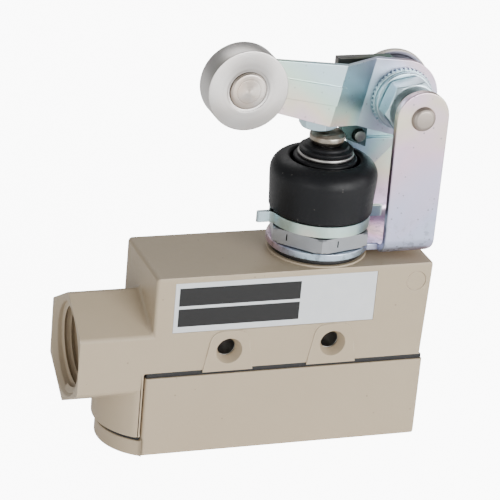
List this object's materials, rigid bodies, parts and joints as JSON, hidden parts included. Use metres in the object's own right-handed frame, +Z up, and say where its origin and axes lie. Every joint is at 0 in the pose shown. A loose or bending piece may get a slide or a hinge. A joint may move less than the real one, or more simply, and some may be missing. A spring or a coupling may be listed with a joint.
{
  "type": "limit_switch",
  "caption": "Enclosed limit switch with conduit entry, sealed plunger head and an adjustable roller-arm lever on a swivelling bracket",
  "frame": {"origin": "foot of the plunger's axis on the flat face the case rests on", "axes": "+X along the case towards its blind end, away from the conduit entry; +Y through the case, away from the label face; +Z up along the plunger's axis"},
  "size_m": [0.0872, 0.0252, 0.0986],
  "materials": {
    "cast_paint": "satin",
    "black_rubber": "matte",
    "zinc_plate": "satin",
    "bare_steel": "satin",
    "nickel": "satin",
    "brass": "satin",
    "spring_steel": "satin",
    "phenolic": "matte",
    "pale_plastic": "matte",
    "label_foil": "satin"
  },
  "bodies": {
    "case": {"case_body": "cast_paint", "bottom_cover": "cast_paint", "case_gasket": "black_rubber", "block_gasket": "black_rubber", "cover_screw_left": "bare_steel", "cover_screw_front": "bare_steel", "cover_screw_back": "bare_steel", "label_plate": "label_foil", "mounting_sleeve_left": "bare_steel", "mounting_sleeve_right": "bare_steel", "switch_housing": "phenolic", "switch_lid": "phenolic", "common_terminal": "brass", "normally_open_terminal": "brass", "normally_closed_terminal": "brass", "common_terminal_screw": "bare_steel", "normally_open_terminal_screw": "bare_steel", "normally_closed_terminal_screw": "bare_steel", "head_sleeve": "bare_steel", "spring_retainer": "bare_steel", "seat_washer": "black_rubber", "lock_nut": "zinc_plate", "boot_clamp": "zinc_plate", "boot": "black_rubber", "return_spring": "spring_steel"},
    "plunger": {"plunger_shaft": "bare_steel", "plunger_washer": "bare_steel", "plunger_seal": "black_rubber", "plunger_tip": "nickel", "overtravel_spring": "spring_steel"},
    "switch_actuator": {"push_button": "brass", "switch_pin": "pale_plastic"},
    "snap_blade_body": {"snap_blade": "brass"},
    "bracket": {"lever_bracket": "zinc_plate", "pivot_pin": "nickel", "pivot_collar": "pale_plastic", "pivot_disc": "pale_plastic", "stop_plate": "zinc_plate"},
    "lever": {"follower_lever": "zinc_plate", "pivot_hub": "bare_steel", "contact_bolt": "bare_steel", "contact_bolt_nut": "zinc_plate", "stop_pin": "bare_steel", "toothed_washer": "zinc_plate", "clamp_washer": "zinc_plate", "arm_clamp_nut": "zinc_plate"},
    "arm": {"roller_arm": "zinc_plate", "roller_rivet": "bare_steel"},
    "roller_body": {"roller": "bare_steel"}
  },
  "joints": [
    {"name": "plunger_slide", "type": "slide", "parent": "case", "child": "plunger", "axis": [0, 0, -1], "range_m": [0, 0.0024], "deforming": ["return_spring", "overtravel_spring"]},
    {"name": "switch_pin_slide", "type": "slide", "parent": "case", "child": "switch_actuator", "axis": [0, 0, -1], "range_m": [0, 0.0009]},
    {"name": "blade_snap", "type": "hinge", "parent": "case", "child": "snap_blade_body", "pos_m": [-0.029, 0, 0.034], "axis": [0, 1, 0], "range_deg": [0, 1.5]},
    {"name": "head_swivel", "type": "hinge", "parent": "case", "child": "bracket", "pos_m": [0, 0, 0.0467], "axis": [0, 0, 1], "range_deg": [-180, 180]},
    {"name": "lever_pivot", "type": "hinge", "parent": "bracket", "child": "lever", "pos_m": [0.01825, 0, 0.08075], "axis": [0, -1, 0], "range_deg": [0, 7.2], "stiffness_Nm_per_rad": 1.5, "springref_deg": -8.59},
    {"name": "arm_set_angle", "type": "hinge", "parent": "lever", "child": "arm", "pos_m": [0.01825, 0, 0.08075], "axis": [0, 1, 0], "range_deg": [-5, 110]},
    {"name": "roller_spin", "type": "hinge", "parent": "arm", "child": "roller_body", "pos_m": [-0.0246, 0, 0.08931], "axis": [0, 1, 0], "continuous": true}
  ],
  "couplings": [
    {"joint": "plunger_slide", "follows": "lever_pivot", "m_per_rad": 0.019},
    {"joint": "switch_pin_slide", "follows": "lever_pivot", "m_per_rad": 0.007},
    {"joint": "blade_snap", "follows": "lever_pivot", "ratio": 0.19}
  ]
}
